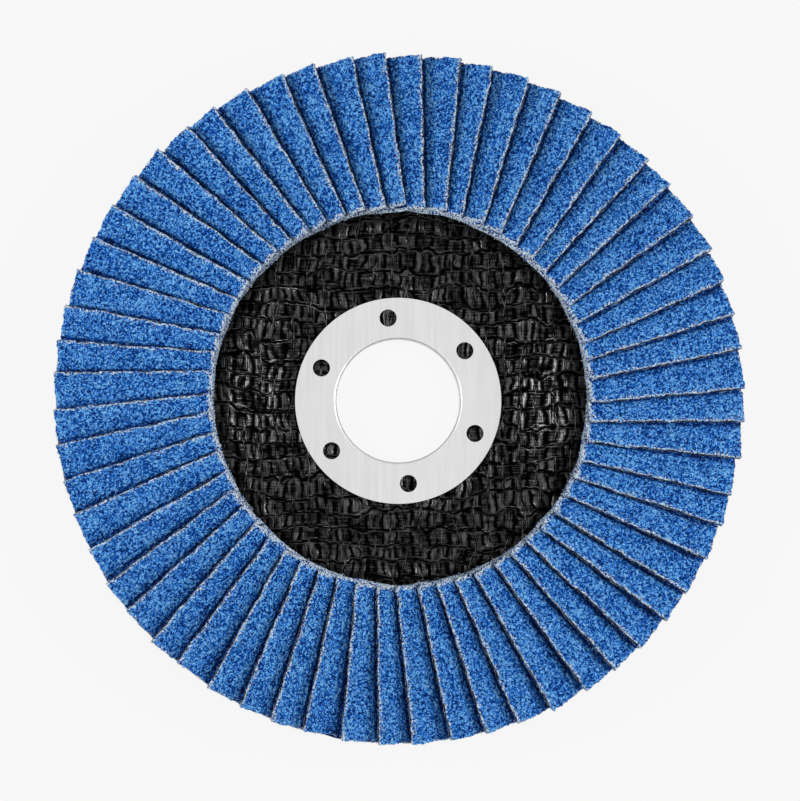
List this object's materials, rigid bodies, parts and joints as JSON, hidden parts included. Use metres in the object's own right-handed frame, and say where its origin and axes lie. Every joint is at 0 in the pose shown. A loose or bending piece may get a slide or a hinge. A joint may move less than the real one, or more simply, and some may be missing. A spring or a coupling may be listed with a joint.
{
  "type": "flap disc",
  "caption": "Round flap disc for an angle grinder: blue abrasive cloth flaps overlapping on a dished black glass-fibre plate, with a holed steel bore ring.",
  "frame": {"origin": "on the disc's axis, in the plane of the hub's back face, which the grinder's flange clamps", "axes": "+Z along the spindle axis, out of the working side with the flaps; +X and +Y in the plane of the hub's back face"},
  "size_m": [0.1248, 0.1248, 0.0162],
  "materials": {
    "glass_fibre_laminate": "black resin-bonded glass cloth, pressed, with the open weave showing",
    "ring_steel": "zinc-plated sheet steel, stamped, faintly brushed",
    "cured_adhesive": "dark cured epoxy",
    "abrasive_cloth": "blue coarse abrasive grain and size coat on stiff resin-filled polyester-cotton cloth, pale frayed cut edges"
  },
  "bodies": {
    "root": {"backing_plate": "glass_fibre_laminate", "bore_ring": "ring_steel", "adhesive_bed": "cured_adhesive", "flap_pair_01": "abrasive_cloth", "flap_pair_02": "abrasive_cloth", "flap_pair_03": "abrasive_cloth", "flap_pair_04": "abrasive_cloth", "flap_pair_05": "abrasive_cloth", "flap_pair_06": "abrasive_cloth", "flap_pair_07": "abrasive_cloth", "flap_pair_08": "abrasive_cloth", "flap_pair_09": "abrasive_cloth", "flap_pair_10": "abrasive_cloth", "flap_pair_11": "abrasive_cloth", "flap_pair_12": "abrasive_cloth", "flap_pair_13": "abrasive_cloth", "flap_pair_14": "abrasive_cloth", "flap_pair_15": "abrasive_cloth", "flap_pair_16": "abrasive_cloth", "flap_pair_17": "abrasive_cloth", "flap_pair_18": "abrasive_cloth", "flap_pair_19": "abrasive_cloth", "flap_pair_20": "abrasive_cloth", "flap_pair_21": "abrasive_cloth", "flap_pair_22": "abrasive_cloth", "flap_pair_23": "abrasive_cloth", "flap_pair_24": "abrasive_cloth", "flap_pair_25": "abrasive_cloth", "flap_pair_26": "abrasive_cloth", "flap_pair_27": "abrasive_cloth", "flap_pair_28": "abrasive_cloth", "flap_pair_29": "abrasive_cloth", "flap_pair_30": "abrasive_cloth"}
  },
  "joints": []
}
